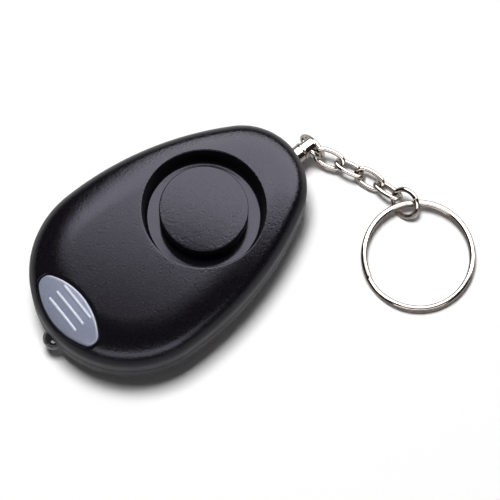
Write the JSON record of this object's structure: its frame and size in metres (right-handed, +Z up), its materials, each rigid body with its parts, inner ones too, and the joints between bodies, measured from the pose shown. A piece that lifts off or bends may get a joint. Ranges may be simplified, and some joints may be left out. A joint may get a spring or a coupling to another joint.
{
  "type": "personal safety alarm",
  "caption": "Egg-shaped pocket alarm with recessed sounder, torch button and LED; pulling the pin by its chain and split key ring starts the siren.",
  "frame": {"origin": "on the underside of the case, straight below the axis of the sounder", "axes": "+X along the case towards the pull pin, +Y to the left seen from above with the pin ahead, +Z up out of the sounder"},
  "size_m": [0.0891, 0.0673, 0.0187],
  "materials": {
    "case_plastic": "fine spark texture",
    "screw_steel": "zinc plated",
    "brass_sheet": "rolled",
    "ceramic_white": "fired, silvered",
    "lead_red": "satin",
    "button_grey": "satin",
    "black_plastic": "matte",
    "white_plastic": "satin",
    "led_clear": "clear moulded lens",
    "tinned_wire": "tinned",
    "board_green": "solder mask",
    "can_blue": "sleeved",
    "ferrite": "sintered",
    "copper_wire": "enamelled",
    "cell_steel": "plated",
    "contact_spring": "plated spring sheet",
    "nickel": "nickel plated"
  },
  "bodies": {
    "case": {"upper_case": "case_plastic", "lower_case": "case_plastic", "case_screws": "screw_steel", "battery_door": "case_plastic", "door_screw": "screw_steel", "sounder_cap": "case_plastic", "piezo_plate": "brass_sheet", "piezo_ceramic": "ceramic_white", "sounder_leads": "lead_red", "switch_body": "black_plastic", "torch_led": "led_clear", "led_legs": "tinned_wire", "circuit_board": "board_green", "siren_chip": "black_plastic", "drive_transistor": "black_plastic", "chip_resistors": "black_plastic", "smoothing_capacitor": "can_blue", "boost_core": "ferrite", "boost_winding": "copper_wire", "button_cells": "cell_steel", "door_contact": "contact_spring", "board_contacts": "contact_spring", "negative_contact": "contact_spring", "pin_bush": "nickel", "contact_carrier": "black_plastic", "fixed_contact": "contact_spring"},
    "button": {"torch_button": "button_grey", "switch_plunger": "white_plastic"},
    "leaf": {"moving_contact": "contact_spring"},
    "pin": {"pull_pin": "nickel"},
    "ring_at_pin": {"pin_ring": "nickel"},
    "link_1": {"chain_link_1": "nickel"},
    "link_2": {"chain_link_2": "nickel"},
    "link_3": {"chain_link_3": "nickel"},
    "link_4": {"chain_link_4": "nickel"},
    "loop_at_ring": {"key_loop": "nickel"},
    "key_ring": {"split_ring": "nickel"}
  },
  "joints": [
    {"name": "torch_press", "type": "slide", "parent": "case", "child": "button", "axis": [0, 0, -1], "range_m": [0, 0.0005], "stiffness_N_per_m": 1500, "springref_m": -0.0005},
    {"name": "pin_pull", "type": "slide", "parent": "case", "child": "pin", "axis": [1, 0, 0], "range_m": [0, 0.016]},
    {"name": "contact_close", "type": "hinge", "parent": "case", "child": "leaf", "pos_m": [0.01974, 0.00165, 0.007], "axis": [0, 0, 1], "range_deg": [0, 6]},
    {"name": "pin_ring_swing", "type": "hinge", "parent": "pin", "child": "ring_at_pin", "pos_m": [0.0288, 0, 0.007], "axis": [0, 1, 0], "range_deg": [-60, 20]},
    {"name": "link_1_swing", "type": "hinge", "parent": "ring_at_pin", "child": "link_1", "pos_m": [0.03092, -0.00274, 0.00386], "axis": [0.5185, 0.3746, -0.7687], "range_deg": [-25, 25]},
    {"name": "link_2_swing", "type": "hinge", "parent": "link_1", "child": "link_2", "pos_m": [0.03327, -0.00698, 0.00301], "axis": [0.7647, 0.31, 0.5649], "range_deg": [-25, 25]},
    {"name": "link_3_swing", "type": "hinge", "parent": "link_2", "child": "link_3", "pos_m": [0.03548, -0.01132, 0.00215], "axis": [0.6536, 0.453, -0.6063], "range_deg": [-25, 25]},
    {"name": "link_4_swing", "type": "hinge", "parent": "link_3", "child": "link_4", "pos_m": [0.03717, -0.01597, 0.00197], "axis": [0.7672, 0.2574, 0.5874], "range_deg": [-25, 25]},
    {"name": "loop_swing", "type": "hinge", "parent": "link_4", "child": "loop_at_ring", "pos_m": [0.03827, -0.0207, 0.00292], "axis": [0.774, 0.0528, -0.631], "range_deg": [-25, 25]},
    {"name": "key_ring_swing", "type": "hinge", "parent": "loop_at_ring", "child": "key_ring", "pos_m": [0.03853, -0.0226, 0.00284], "axis": [-0.8988, 0.4384, 0], "range_deg": [-20, 20]}
  ],
  "couplings": [
    {"joint": "contact_close", "follows": "pin_pull", "rad_per_m": 6.5}
  ]
}
